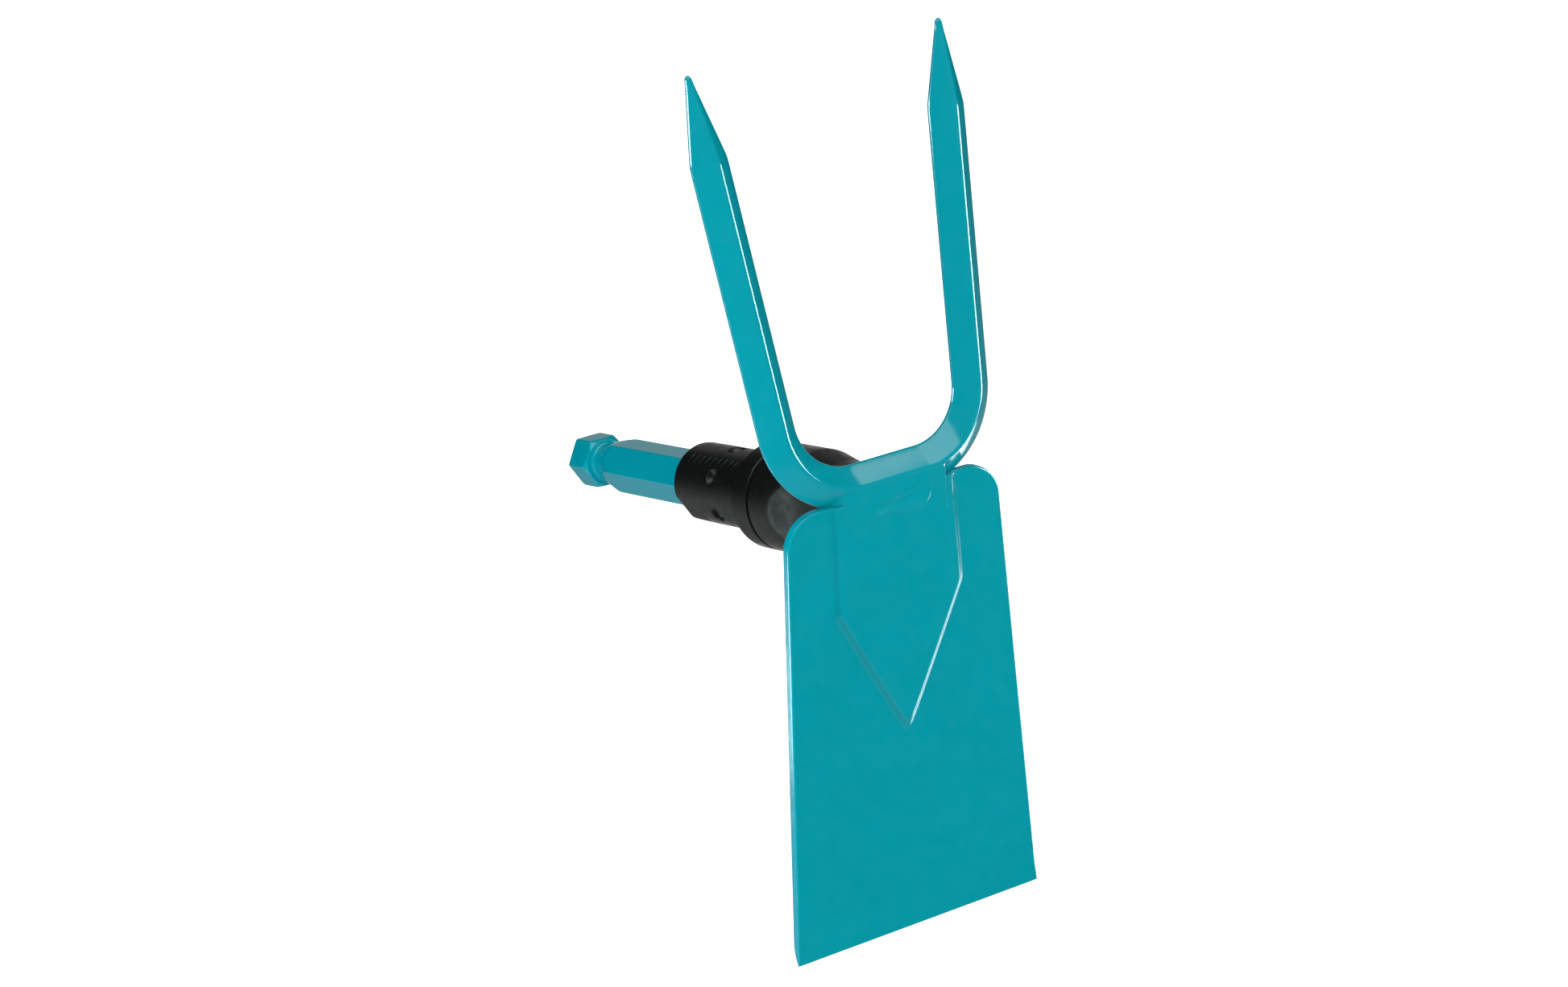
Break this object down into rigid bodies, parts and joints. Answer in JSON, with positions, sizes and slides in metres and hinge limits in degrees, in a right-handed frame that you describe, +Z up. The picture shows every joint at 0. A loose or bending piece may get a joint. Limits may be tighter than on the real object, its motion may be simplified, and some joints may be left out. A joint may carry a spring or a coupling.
{
  "type": "hoe and cultivator fork head",
  "caption": "Garden tool head: a flat hoe blade below a pronged cultivator fork, on a hexagonal push-in shank with a necked knob, a round handle sleeve and a hub.",
  "frame": {"origin": "on the shank's axis, in the plane of the flange's shoulder where the mouth of the handle seats", "axes": "+Y along the shank towards its knob, the way the handle comes off; +Z up towards the prong tips; +X to the right when looking at the front of the blade"},
  "size_m": [0.0858, 0.166, 0.2431],
  "materials": {
    "enamel": "glossy turquoise enamel over steel",
    "black_plastic": "satin black moulded plastic"
  },
  "bodies": {
    "root": {"hoe_blade": "enamel", "two_prong_fork": "enamel", "hex_shank": "enamel", "fork_front_weld": "enamel", "fork_rear_weld": "enamel", "shank_weld": "enamel", "coupling_sleeve": "black_plastic", "hub_cover": "black_plastic"}
  },
  "joints": []
}
